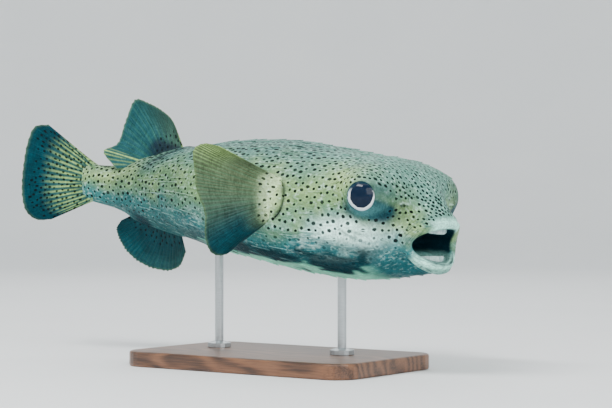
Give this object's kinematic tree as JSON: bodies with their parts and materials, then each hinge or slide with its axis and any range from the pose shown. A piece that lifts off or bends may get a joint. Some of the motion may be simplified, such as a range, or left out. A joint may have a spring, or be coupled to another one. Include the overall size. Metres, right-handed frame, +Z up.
{
  "type": "spot-fin porcupinefish on a display stand",
  "caption": "Life-size still model of a swimming spot-fin porcupinefish, mouth open and fins spread, held by rods on a flat wooden base.",
  "frame": {"origin": "middle of the underside of the stand's base", "axes": "+X towards the fish's head, +Y to its left, +Z up"},
  "size_m": [0.5014, 0.2271, 0.2508],
  "materials": {
    "skin": "satin wet-look skin, pale yellow-green with small black spots, white belly",
    "fin": "satin olive and teal webs with paler rays and dark spots near the roots",
    "eye": "polished dark blue pupil in a silver ring",
    "tooth": "polished off-white enamel",
    "base": "dark oiled walnut",
    "rod": "brushed stainless steel"
  },
  "bodies": {
    "root": {"head": "skin", "trunk": "skin", "tail": "skin", "fin_dorsal": "fin", "fin_anal": "fin", "fin_caudal": "fin", "fin_pectoral_left": "fin", "fin_pectoral_right": "fin", "eye_left": "eye", "eye_right": "eye", "tooth_plate_upper": "tooth", "tooth_plate_lower": "tooth", "stand_base": "base", "stand_rod_front": "rod", "stand_rod_rear": "rod"}
  },
  "joints": []
}
